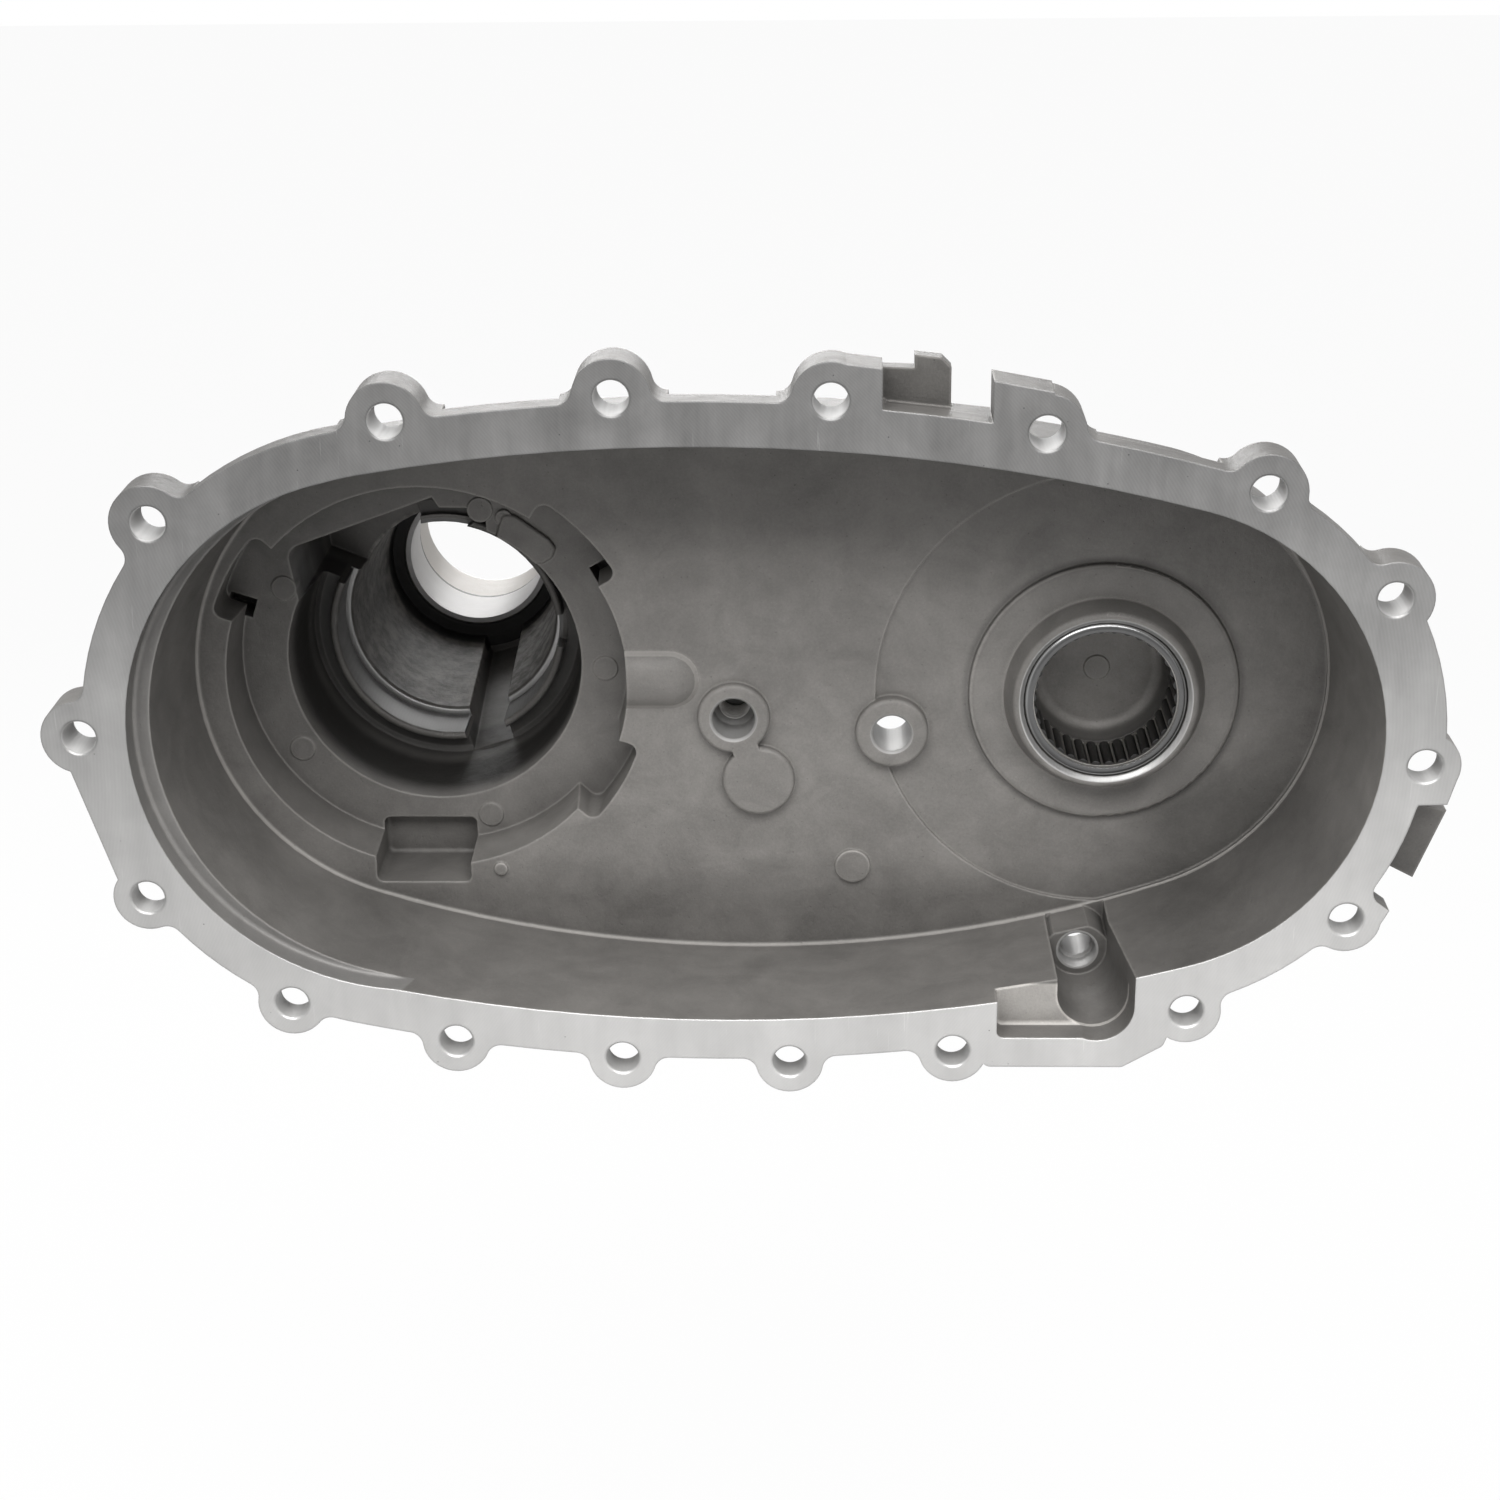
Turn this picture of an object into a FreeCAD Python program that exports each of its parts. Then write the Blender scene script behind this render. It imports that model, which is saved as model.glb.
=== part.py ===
# Transfer case housing: the rear half of a chain-drive case, seen into its joint face.
# Origin: main shaft axis in the joint face. X runs along the case, Z is up, Y runs into the case.
# All lengths are millimetres.
import FreeCAD, Part
import math
import os
from FreeCAD import Vector

os.makedirs("parts", exist_ok=True)

# Shafts
shaft_spacing = 232.7
shaft_drop = 4.3

# Bowl: its mouth at the joint face and its floor, each two end arcs joined by two long arcs
mouth_left_x = 6.0
mouth_left_z = 2.0
mouth_left_r = 90.0
mouth_right_x = 235.5
mouth_right_z = 0.0
mouth_right_r = 81.0
mouth_top_r = 620.0
mouth_bottom_r = 575.0
bowl_depth = 62.0
floor_left_shift = 0.1
floor_left_r = 85.7
floor_right_shift = -6.8
floor_right_r = 80.4
floor_top_r = 640.0
floor_bottom_r = 430.0
bowl_wall = 5.0
floor_wall = 5.0
floor_fillet = 1.4
back_edge_round = 7.0

# Machined counterbore at the left end of the mouth
ledge_depth = 9.0
ledge_width = 5.0
ledge_r = 89.0
ledge_drop = 0.5

# Joint flange
land_width = 14.0
flange_thickness = 9.0
bolt_hole_d = 11.0
bolt_chamfer = 0.7
upper_ear_r = 12.4
lower_ear_r = 11.4
upper_ear_depth = 15.0
lower_ear_depth = 10.0
ear_blend_r = 5.0
left_arc_reach = 16.0
right_arc_reach = 14.0
right_bulge = 5.3

# Casting corners
cast_round = 1.6
pocket_corner_r = 2.4
hub_blend_r = 5.0
machined_step = 0.8

# Pump recess round the main shaft
recess_rim_r = 69.3
recess_foot_r = 67.9
recess_depth = 21.0
lobe_r = 76.6
lobe_round = 3.5
tab_left = -21.5
tab_right = 12.0
tab_inner = 59.5
tab_outer = 75.6
tab_extra_depth = 5.5
latch_length = 9.5
latch_width = 7.0
latch_past = 1.0
latch_margin = 2.0
latch_depth = 13.0
pin_r = 4.4
pin_height = 0.5
small_pin_r = 2.9
recess_pad_height = 1.5
recess_pad_round = 1.0

# Main bore, from the recess face back
cavity_r = 51.7
cavity_foot_r = 49.1
cavity_depth = 39.0
bearing_r = 40.0
bearing_length = 14.0
collar_wall = 2.8
collar_height = 6.0
collar_round = 1.2
groove_depth = 1.0
groove_width = 1.2
tube_mouth_r = 37.6
tube_edge = 0.8
tube_edge_depth = 1.5
tube_end_r = 33.2
tube_length = 70.5
oil_slot_width = 15.5
oil_slot_angle = -72.5
oil_slot_mouth_r = 48.9
oil_slot_end_r = 40.0
side_pocket_depth = 67.0
side_pocket_round = 5.0
side_pocket_reach = 10.0
notch_from = -9.0
notch_to = 8.0
notch_wall = 0.7
notch_depth = 4.0

# Tail
bushing_bore_r = 26.2
bushing_wall = 2.0
bushing_length = 26.0
bushing_lead = 1.0
tail_throat_r = 26.6
tail_throat_length = 24.0
seal_bore_r = 31.0
seal_bore_depth = 10.0
tube_wall = 6.0
hub_wall = 6.0
rib_thickness = 6.0
rib_count = 6
back_rib_spread = 34.0
back_rib_narrowing = 0.6
back_rib_height = 8.0

# Front output boss with its needle bearing
chain_dish_r = 78.2
chain_dish_depth = 1.4
boss_step_width = 11.8
boss_step_height = 2.0
boss_step_round = 1.5
boss_flank = 3.2
boss_land = 3.4
boss_height = 9.0
boss_edge = 1.8
bore_chamfer = 1.3
shell_r = 28.0
shell_wall = 1.0
shell_length = 25.0
shell_sink = 0.9
lip_width = 3.3
cup_round = 2.3
needle_d = 3.6
needle_length = 19.0
needle_gap = 1.04
running_clearance = 0.05
end_clearance = 0.5
cage_clearance = 0.7
cage_wall = 2.0
window_clearance = 0.08
blind_step = 0.1
blind_taper = 2.2
blind_depth = 9.0
blind_mark_r = 4.5
blind_round = 4.0
boss_wall = 6.0

# Bosses on the bowl floor
pad_r = 12.6
pad_height = 3.4
pad_round = 1.5
blind_boss_x = 105.7
blind_boss_z = -12.9
blind_boss_bore_r = 7.4
blind_boss_bore_depth = 14.0
blind_boss_thread_r = 5.4
blind_boss_thread_depth = 30.0
plain_pad_x = 114.1
plain_pad_z = -36.0
through_boss_x = 160.2
through_boss_z = -18.2
through_boss_bore_r = 6.5
through_boss_length = 22.0
hole_edge_chamfer = 0.8
disc_x = 146.9
disc_z = -69.0
disc_r = 6.2
disc_height = 1.4
dimple_x = 22.7
dimple_z = -70.3
dimple_r = 2.4
dimple_height = 1.3
oil_rib_half_width = 10.4
oil_rib_height = 5.0
oil_rib_end = 94.0
oil_rib_z = 0.6

# Drain trough in the bottom wall
trough_x = 228.0
trough_z = -93.3
trough_r = 12.4
trough_end_x = 225.2
trough_end_z = -93.0
trough_end_r = 10.2
drain_face_depth = 45.0
drain_top_z = -84.0
drain_bore_r = 5.2
drain_counterbore_r = 6.5
drain_counterbore_depth = 7.0
drain_boss_r = 11.9
drain_boss_length = 22.0
side_cut_left = 194.7
side_cut_bottom = -104.8
side_cut_depth = 10.0
trough_land = 10.0

# Lugs outside the flange
tag_left = 154.8
tag_right = 188.8
tag_edge_left_z = 111.0
tag_edge_right_z = 106.8
tag_block_top_z = 124.0
tag_plate_right = 176.4
tag_plate_top_z = 121.4
tag_plate_front = 14.0
tag_plate_thickness = 6.0
tag_tab_left = 165.0
tag_tab_top_z = 125.0
side_lug_reach = 13.2
side_lug_angle_from = -27.8
side_lug_angle_to = -14.2
side_lug_front = 11.0
side_lug_thickness = 10.0

floor_y = bowl_depth
recess_y = floor_y + recess_depth
seat_y = recess_y + cavity_depth
shoulder_y = seat_y + bearing_length
tube_end_y = shoulder_y + tube_length
bushing_end_y = tube_end_y + bushing_lead + bushing_length
throat_end_y = bushing_end_y + tail_throat_length
tail_end_y = throat_end_y + seal_bore_depth
boss_face_y = floor_y - boss_height
shell_y = boss_face_y + shell_sink
shell_end_y = shell_y + shell_length
blind_end_y = shell_end_y + blind_depth
raceway_r = shell_r - shell_wall
lip_r = shell_r - lip_width
cage_outer_r = raceway_r - cage_clearance
cage_inner_r = cage_outer_r - cage_wall
needle_pitch_r = raceway_r - running_clearance - needle_d / 2
needle_count = int(2 * math.pi * needle_pitch_r / (needle_d + needle_gap))
blind_mouth_r = lip_r - blind_step
blind_end_r = blind_mouth_r - blind_taper
boss_top_r = shell_r + boss_land
boss_foot_r = boss_top_r + boss_flank
boss_step_r = boss_foot_r + boss_step_width
front_x = shaft_spacing
front_z = -shaft_drop
drain_z = (trough_end_z + drain_top_z - trough_end_r) / 2

# Bolt circle as the flange needs it: x, z of every hole, clockwise from the one above the main shaft
bolt_holes = [
    (1.3, 108.0), (71.4, 115.1), (139.0, 114.0), (205.5, 103.5), (274.4, 84.3), (316.0, 49.6),
    (329.8, -6.8), (308.3, -60.9), (257.7, -94.8), (180.1, -109.9), (125.2, -114.0), (68.9, -112.8),
    (12.8, -106.6), (-41.9, -92.5), (-87.2, -53.6), (-104.5, 3.2), (-75.4, 75.3),
]
# Pump lugs in the recess wall: the angles, in degrees, between which each one opens
lobes = [(136.5, 161.5), (29.6, 57.0), (-43.0, -18.5)]
# Ejector pin marks on the recess face
pins = [(-51.4, 27.0), (-49.0, -33.0), (60.0, -2.7), (17.3, -58.4), (18.4, 55.2)]
small_pin_x = 26.6
small_pin_z = 52.4
# Corners of the side pocket: angle in degrees and distance outside the cavity's wall
side_mouth = [
    (152.5, -24.6), (154.7, -0.3), (140.4, 12.6), (88.1, 8.0), (85.6, 4.5), (75.3, 6.0), (71.2, 2.4),
    (68.4, 3.4), (66.7, -0.3), (80.0, -14.0), (97.6, -21.4),
]
side_deep = [
    (152.5, -24.6), (154.7, -0.3), (140.4, 12.6), (102.2, 5.0), (100.8, -8.9), (105.9, -22.6),
]
# Corners of the raised pad on the recess face, beside the cavity's upper right edge
recess_pad = [
    (64.3, 8.2), (60.2, 10.0), (47.0, 9.9), (43.2, 9.2), (41.5, 5.8), (42.2, 1.9), (48.0, -4.0), (62.0, -4.0),
]


def cylinder(x, z, radius, y0, y1):
    return Part.makeCylinder(radius, y1 - y0, Vector(x, y0, z), Vector(0, 1, 0))


def cone(x, z, radius0, radius1, y0, y1):
    return Part.makeCone(radius0, radius1, y1 - y0, Vector(x, y0, z), Vector(0, 1, 0))


def turned(x, z, profile):
    """A solid of revolution about the Y direction through x, z from (radius, y) points."""
    points = [Vector(x + radius, y, z) for radius, y in profile]
    points.append(points[0])
    face = Part.Face(Part.makePolygon(points))
    return face.revolve(Vector(x, 0, z), Vector(0, 1, 0), 360)


def prism(points, y0, y1):
    """An upright prism from (x, z) corners between two depths."""
    corners = [Vector(x, y0, z) for x, z in points]
    corners.append(corners[0])
    return Part.Face(Part.makePolygon(corners)).extrude(Vector(0, y1 - y0, 0))


def arc(a, b, c):
    return Part.Arc(a, b, c).toShape()


def long_arc_centre(left, right, radius, side):
    """Centre of the arc of the given radius that both end circles touch from inside."""
    reach_left = radius - left[2]
    reach_right = radius - right[2]
    dx = right[0] - left[0]
    dz = right[1] - left[1]
    span = math.hypot(dx, dz)
    along = (reach_left**2 - reach_right**2 + span**2) / (2 * span)
    across = -side * math.sqrt(reach_left**2 - along**2)
    x = left[0] + (along * dx - across * dz) / span
    z = left[1] + (along * dz + across * dx) / span
    return x, z


def touch(centre, circle, radius, y):
    """The point where an end circle meets a long arc."""
    dx = circle[0] - centre[0]
    dz = circle[1] - centre[1]
    span = math.hypot(dx, dz)
    return Vector(centre[0] + dx * radius / span, y, centre[1] + dz * radius / span)


def belt(left, right, top_r, bottom_r, y, grow=0.0):
    """The case outline at depth y: two end circles (x, z, r) joined by two long arcs."""
    left = (left[0], left[1], left[2] + grow)
    right = (right[0], right[1], right[2] + grow)
    top_r = top_r + grow
    bottom_r = bottom_r + grow
    top = long_arc_centre(left, right, top_r, 1)
    bottom = long_arc_centre(left, right, bottom_r, -1)
    a = touch(top, left, top_r, y)
    b = touch(top, right, top_r, y)
    c = touch(bottom, right, bottom_r, y)
    d = touch(bottom, left, bottom_r, y)
    edges = [
        arc(a, Vector(top[0], y, top[1] + top_r), b),
        arc(b, Vector(right[0] + right[2], y, right[1]), c),
        arc(c, Vector(bottom[0], y, bottom[1] - bottom_r), d),
        arc(d, Vector(left[0] - left[2], y, left[1]), a),
    ]
    return Part.Wire(edges)


mouth_left = (mouth_left_x, mouth_left_z, mouth_left_r)
mouth_right = (mouth_right_x, mouth_right_z, mouth_right_r)
floor_left = (mouth_left_x + floor_left_shift, mouth_left_z, floor_left_r)
floor_right = (mouth_right_x + floor_right_shift, mouth_right_z, floor_right_r)
land_left = (mouth_left_x - ledge_width, mouth_left_z, mouth_left_r)


def mouth_wire(y, grow=0.0):
    return belt(mouth_left, mouth_right, mouth_top_r, mouth_bottom_r, y, grow)


def floor_wire(y, grow=0.0):
    return belt(floor_left, floor_right, floor_top_r, floor_bottom_r, y, grow)


def land_wire(y, grow=0.0):
    return belt(land_left, mouth_right, mouth_top_r, mouth_bottom_r, y, grow)


def edges_at(shape, y, tolerance=0.01):
    """Edges that lie whole in the plane at depth y."""
    found = []
    for edge in shape.Edges:
        box = edge.BoundBox
        if abs(box.YMin - y) < tolerance and abs(box.YMax - y) < tolerance:
            found.append(edge)
    return found


def upright_edges(shape):
    """Straight edges along Y."""
    found = []
    for edge in shape.Edges:
        box = edge.BoundBox
        if box.XLength < 0.01 and box.ZLength < 0.01:
            found.append(edge)
    return found


def outer_uprights(shape, radius):
    """Straight edges along Y that lie further than a radius from the main shaft."""
    found = []
    for edge in upright_edges(shape):
        centre = edge.BoundBox.Center
        if math.hypot(centre.x, centre.z) > radius:
            found.append(edge)
    return found


def nearest_outline(x, z):
    """The outline circle (x, z, r) of the flange edge beside a bolt hole."""
    top = long_arc_centre(land_left, mouth_right, mouth_top_r, 1)
    bottom = long_arc_centre(land_left, mouth_right, mouth_bottom_r, -1)
    circles = {
        "left": (land_left[0], land_left[1], land_left[2] + land_width),
        "right": (mouth_right[0], mouth_right[1], mouth_right[2] + land_width),
        "top": (top[0], top[1], mouth_top_r + land_width),
        "bottom": (bottom[0], bottom[1], mouth_bottom_r + land_width),
    }
    if x < land_left[0] - left_arc_reach:
        return circles["left"]
    if x > mouth_right[0] + right_arc_reach:
        return circles["right"]
    return circles["top"] if z > 0 else circles["bottom"]


def ear(x, z, radius, depth):
    """A bolt ear with blends that run tangent into the flange edge."""
    edge_x, edge_z, edge_r = nearest_outline(x, z)
    dx = x - edge_x
    dz = z - edge_z
    span = math.hypot(dx, dz)
    from_edge = edge_r + ear_blend_r
    from_ear = radius + ear_blend_r
    along = (from_edge**2 - from_ear**2 + span**2) / (2 * span)
    across = math.sqrt(from_edge**2 - along**2)
    ux, uz = dx / span, dz / span
    crown = Vector(x + ux * radius, 0, z + uz * radius)
    feet = []
    necks = []
    middles = []
    for side in (1, -1):
        bx = edge_x + along * ux - side * across * uz
        bz = edge_z + along * uz + side * across * ux
        foot_share = edge_r / from_edge
        neck_share = radius / from_ear
        foot = Vector(edge_x + (bx - edge_x) * foot_share, 0, edge_z + (bz - edge_z) * foot_share)
        neck = Vector(x + (bx - x) * neck_share, 0, z + (bz - z) * neck_share)
        chord = (foot + neck) * 0.5 - Vector(bx, 0, bz)
        chord.normalize()
        feet.append(foot)
        necks.append(neck)
        middles.append(Vector(bx, 0, bz) + chord * ear_blend_r)
    inward = Vector(-ux, 0, -uz) * (land_width * 0.5)
    edges = [
        arc(feet[0], middles[0], necks[0]),
        arc(necks[0], crown, necks[1]),
        arc(necks[1], middles[1], feet[1]),
        Part.makeLine(feet[1], feet[1] + inward),
        Part.makeLine(feet[1] + inward, feet[0] + inward),
        Part.makeLine(feet[0] + inward, feet[0]),
    ]
    return Part.Face(Part.Wire(edges)).extrude(Vector(0, depth, 0))


def flange():
    """The joint flange with its ears, the bulge at the right end and the wider left edge."""
    pieces = [Part.Face(land_wire(0, land_width)).extrude(Vector(0, flange_thickness, 0))]
    for x, z in bolt_holes:
        upper = z > 0
        radius = upper_ear_r if upper else lower_ear_r
        depth = upper_ear_depth if upper else lower_ear_depth
        pieces.append(ear(x, z, radius, depth))
    pieces.append(right_end_bulge())
    pieces.extend(ear_corners())
    pieces.append(left_edge_web())
    return pieces


def right_end_bulge():
    """The wider land between the two upper bolts of the right end."""
    upper = bolt_holes[5]
    lower = bolt_holes[6]
    reach = mouth_right_r + land_width + right_bulge
    start = math.atan2(upper[1] - mouth_right_z, upper[0] - mouth_right_x)
    end = math.atan2(lower[1] - mouth_right_z, lower[0] - mouth_right_x)
    corners = []
    for angle in (start, (start + end) / 2, end):
        x = mouth_right_x + reach * math.cos(angle)
        z = mouth_right_z + reach * math.sin(angle)
        corners.append(Vector(x, 0, z))
    centre = Vector(mouth_right_x, 0, mouth_right_z)
    inner_a = centre + (corners[0] - centre) * 0.88
    inner_b = centre + (corners[2] - centre) * 0.88
    edges = [
        arc(corners[0], corners[1], corners[2]),
        Part.makeLine(corners[2], inner_b),
        Part.makeLine(inner_b, inner_a),
        Part.makeLine(inner_a, corners[0]),
    ]
    return Part.Face(Part.Wire(edges)).extrude(Vector(0, flange_thickness, 0))


def ear_corners():
    """The squared corners of the two lower ears at the right end."""
    x, z = bolt_holes[6]
    flat = prism([
        (x, z), (x + lower_ear_r - 0.2, z - 2.0), (x + lower_ear_r - 3.4, z - lower_ear_r - 1.8),
        (x - 9.0, z - lower_ear_r - 2.2), (x - 12.0, z),
    ], 0, flange_thickness)
    x, z = bolt_holes[7]
    point = prism([
        (x - 2.0, z), (x + 4.0, z + lower_ear_r - 1.0), (x + lower_ear_r + 2.4, z + 3.2),
        (x + 8.0, z - lower_ear_r * 0.7),
    ], 0, lower_ear_depth)
    return [flat, point]


def left_edge_web():
    """The straight web that joins the two lower ears of the left end."""
    upper = bolt_holes[15]
    lower = bolt_holes[14]
    dx = lower[0] - upper[0]
    dz = lower[1] - upper[1]
    span = math.hypot(dx, dz)
    out_x = dz / span * lower_ear_r * 0.62
    out_z = -dx / span * lower_ear_r * 0.62
    corners = [
        (upper[0] + out_x, upper[1] + out_z),
        (lower[0] + out_x, lower[1] + out_z),
        (lower[0] + 14.0, lower[1] + 4.0),
        (upper[0] + 14.0, upper[1]),
    ]
    return prism(corners, 0, flange_thickness)


def bowl_shell():
    """The outside of the bowl, with its rounded back edge."""
    back_y = floor_y + floor_wall
    body = Part.makeLoft([mouth_wire(0, bowl_wall), floor_wire(back_y, bowl_wall)], True, True)
    return body.makeFillet(back_edge_round, edges_at(body, back_y))


def main_hub():
    """The outside round the pump recess, the bearing seat and the tail, with its ribs."""
    recess_out = lobe_r + hub_wall - 1.0
    hub_out = cavity_r + hub_wall
    pocket_y = recess_y + side_pocket_depth
    tube_out = tube_mouth_r + tube_wall
    tail_out = seal_bore_r + tube_wall
    profile = [
        (0, floor_y - 4.0), (recess_out + 1.5, floor_y - 4.0), (recess_out, recess_y + hub_wall),
        (hub_out + 4.0, recess_y + hub_wall + 4.0), (hub_out, pocket_y + 2.0),
        (tube_out + 2.0, pocket_y + hub_wall + 10.0), (tail_out + 3.0, tube_end_y),
        (tail_out, throat_end_y - 4.0), (tail_out, tail_end_y), (0, tail_end_y),
    ]
    hub = turned(0, 0, profile)
    rounds = []
    for y in (recess_y + hub_wall, pocket_y + 2.0, pocket_y + hub_wall + 10.0):
        rounds.extend(edges_at(hub, y))
    hub = hub.makeFillet(hub_blend_r, rounds)
    pieces = [hub, oil_slot_spine()] + pocket_backs()
    for index in range(rib_count):
        pieces.append(tail_rib(30.0 + 360.0 * index / rib_count))
    return pieces


def radial_web(x, z, angle, profile, thickness):
    """A flat web from (radius, y) corners that stands out from the axis through x, z at an angle."""
    corners = [Vector(radius, y, 0) for radius, y in profile]
    corners.append(corners[0])
    web = Part.Face(Part.makePolygon(corners))
    web.translate(Vector(0, 0, -thickness / 2))
    web = web.extrude(Vector(0, 0, thickness))
    web.rotate(Vector(0, 0, 0), Vector(0, 1, 0), -angle)
    web.translate(Vector(x, 0, z))
    return web


def tail_rib(angle):
    """A web from the back of the pump recess to the tail tube."""
    foot_r = lobe_r + 2.0
    top_r = tube_mouth_r
    end_y = tube_end_y - 6.0
    profile = [
        (top_r - 6.0, recess_y), (foot_r, recess_y), (foot_r - 4.0, recess_y + hub_wall + 6.0),
        (top_r + 2.0, end_y), (top_r - 6.0, end_y),
    ]
    return radial_web(0, 0, angle, profile, rib_thickness)


def slot_prism(inner_r, mouth_r, end_r, width, y0, y1):
    """A straight groove or spine along the main bore at the oil slot's angle."""
    profile = [(inner_r, y0), (mouth_r, y0), (end_r, y1), (inner_r, y1)]
    return radial_web(0, 0, oil_slot_angle, profile, width)


def tab_corners():
    """The outline of the tab pocket below the recess."""
    return [(tab_left, -tab_inner), (tab_right, -tab_inner), (tab_right, -tab_outer), (tab_left, -tab_outer)]


def latch_corners():
    """The outlines of the deeper latch pockets, one past the lower end of each upper lobe."""
    outlines = []
    for angle in (lobes[0][1] + latch_past, lobes[1][0] - latch_past):
        turn = math.radians(angle)
        along = Vector(math.cos(turn), 0, math.sin(turn))
        across = Vector(-math.sin(turn), 0, math.cos(turn)) * (latch_width / 2)
        outer = along * (lobe_r - latch_margin)
        inner = along * (lobe_r - latch_margin - latch_length)
        corners = [inner - across, outer - across, outer + across, inner + across]
        outlines.append([(corner.x, corner.z) for corner in corners])
    return outlines


def beside_cavity(corners):
    """The x, z places of corners given by angle and distance outside the cavity's wall."""
    places = []
    for angle, offset in corners:
        turn = math.radians(angle)
        places.append(((cavity_r + offset) * math.cos(turn), (cavity_r + offset) * math.sin(turn)))
    return places


def grown_prism(points, amount, y0, y1):
    """A prism whose sides stand off the (x, z) corners by an amount."""
    corners = [Vector(x, y0, z) for x, z in points]
    corners.append(corners[0])
    outline = Part.Face(Part.makePolygon(corners)).makeOffset2D(amount)
    return outline.extrude(Vector(0, y1 - y0, 0))


def pocket_backs():
    """The metal behind the tab pocket, the latch pockets and the side pocket."""
    pieces = [
        grown_prism(tab_corners(), hub_wall, floor_y, recess_y + tab_extra_depth + hub_wall),
        grown_prism(beside_cavity(side_mouth), hub_wall, floor_y, seat_y + hub_wall),
        grown_prism(beside_cavity(side_deep), hub_wall, floor_y, recess_y + side_pocket_depth + hub_wall),
    ]
    for outline in latch_corners():
        pieces.append(grown_prism(outline, hub_wall, floor_y, recess_y + latch_depth + hub_wall))
    return pieces


def oil_slot_spine():
    """The thicker back of the oil slot on the outside of the tube."""
    mouth = oil_slot_mouth_r + tube_wall
    end = oil_slot_end_r + tube_wall
    width = oil_slot_width + 2 * tube_wall
    return slot_prism(tube_end_r + 1.0, mouth, end, width, seat_y - 8.0, tube_end_y + 3.0)


def front_hub():
    """The outside of the blind boss behind the front output bearing."""
    out_r = shell_r + boss_wall
    end_y = blind_end_y + boss_wall
    profile = [
        (0, floor_y), (boss_step_r + 4.0, floor_y), (boss_step_r, floor_y + floor_wall + 2.0),
        (out_r, floor_y + floor_wall + 10.0), (out_r - 3.0, end_y), (0, end_y),
    ]
    hub = turned(front_x, front_z, profile)
    return hub.makeFillet(4.0, edges_at(hub, end_y))


def back_ribs():
    """Low ribs on the back that tie the two hubs together and out to the right end."""
    back_y = floor_y + floor_wall
    half = rib_thickness / 2
    start_x = lobe_r - rib_thickness
    end_x = front_x - shell_r
    pieces = []
    for z in (-back_rib_spread, 0.0, back_rib_spread):
        end_z = z * back_rib_narrowing
        corners = [(start_x, z - half), (end_x, end_z - half), (end_x, end_z + half), (start_x, z + half)]
        pieces.append(prism(corners, floor_y + 1.0, back_y + back_rib_height))
    reach = mouth_right_x + floor_right_shift + floor_right_r - back_edge_round - front_x
    profile = [
        (shell_r, floor_y + 1.0), (reach, floor_y + 1.0), (reach, back_y - 1.0),
        (shell_r, back_y + 3 * back_rib_height),
    ]
    for angle in (60.0, 0.0, -60.0):
        pieces.append(radial_web(front_x, front_z, angle, profile, rib_thickness))
    return pieces


def boss_backs():
    """The outsides of the floor bosses' holes and of the drain."""
    foot_y = floor_y + 1.0
    pad_y = floor_y - pad_height
    blind_back = pad_y + blind_boss_thread_depth + floor_wall
    through_back = pad_y + through_boss_length
    drain_back = drain_face_depth + drain_boss_length
    return [
        cone(blind_boss_x, blind_boss_z, pad_r + 2.0, pad_r - 2.0, foot_y, blind_back),
        cone(through_boss_x, through_boss_z, pad_r + 1.5, pad_r - 1.0, foot_y, through_back),
        cylinder(trough_end_x, drain_z, drain_boss_r, drain_face_depth, drain_back),
    ]


def u_wire(x, z, radius, y, top):
    """An upright U: a half circle below, open sides up to the height top."""
    left = Vector(x - radius, y, z)
    right = Vector(x + radius, y, z)
    edges = [
        arc(left, Vector(x, y, z - radius), right),
        Part.makeLine(right, Vector(x + radius, y, top)),
        Part.makeLine(Vector(x + radius, y, top), Vector(x - radius, y, top)),
        Part.makeLine(Vector(x - radius, y, top), left),
    ]
    return Part.Wire(edges)


def trough_shell():
    """The outside of the drain trough and the wider land below it."""
    front = u_wire(trough_x, trough_z, trough_r + bowl_wall, 0, trough_z + 24.0)
    back = u_wire(trough_end_x, trough_end_z, trough_end_r + bowl_wall, floor_y + floor_wall, trough_z + 24.0)
    shell = Part.makeLoft([front, back], True, True)
    bottom = trough_z - trough_r - trough_land
    land = prism([
        (side_cut_left - 12.0, bottom + 8.0), (side_cut_left - 3.0, bottom), (trough_x + 9.0, bottom),
        (trough_x + trough_r + 10.0, bottom + 8.0), (trough_x + trough_r + 16.0, trough_z + 2.0),
        (side_cut_left - 12.0, trough_z + 2.0),
    ], 0, flange_thickness)
    cut_back = prism([
        (side_cut_left - bowl_wall, side_cut_bottom - bowl_wall), (trough_x, side_cut_bottom - bowl_wall),
        (trough_x, trough_z + 8.0), (side_cut_left - bowl_wall, trough_z + 8.0),
    ], 0, side_cut_depth + bowl_wall)
    return [shell, land.makeFillet(3.0, upright_edges(land)), cut_back]


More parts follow.
